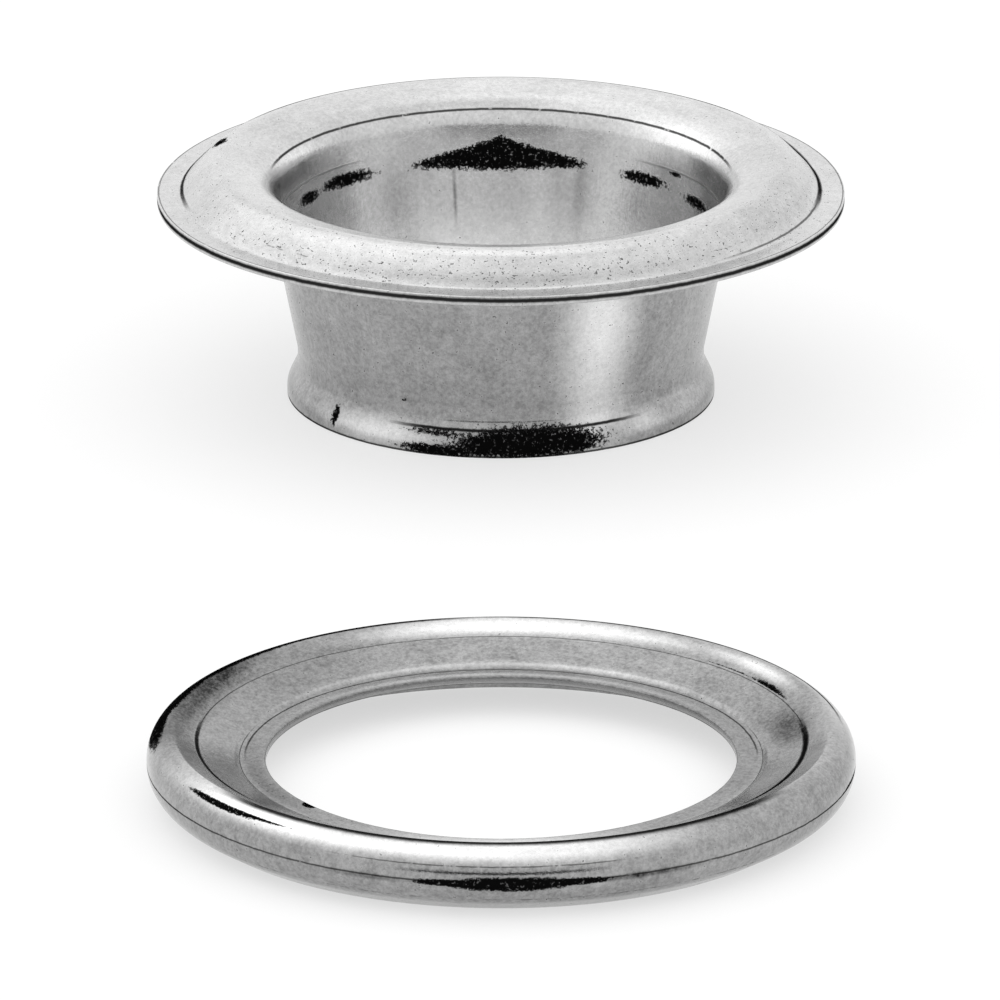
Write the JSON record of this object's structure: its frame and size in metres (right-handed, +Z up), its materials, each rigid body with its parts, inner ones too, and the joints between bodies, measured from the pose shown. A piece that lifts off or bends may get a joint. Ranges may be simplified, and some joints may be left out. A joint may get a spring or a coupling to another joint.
{
  "type": "grommet eyelet",
  "caption": "Unset two-piece eyelet: a domed flange with a tapered, flared barrel, and a rolled washer with a dished inner band lying beside it.",
  "frame": {"origin": "centre of the open, flared end of the eyelet's barrel, on the surface that both pieces rest on", "axes": "+Z up along the eyelet's and the washer's axes, towards the domed flange; the washer lies towards -Y"},
  "size_m": [0.0248, 0.0667, 0.0087],
  "materials": {
    "eyelet_metal": "polished",
    "washer_metal": "polished"
  },
  "bodies": {
    "root": {"eyelet": "eyelet_metal", "washer": "washer_metal"}
  },
  "joints": []
}
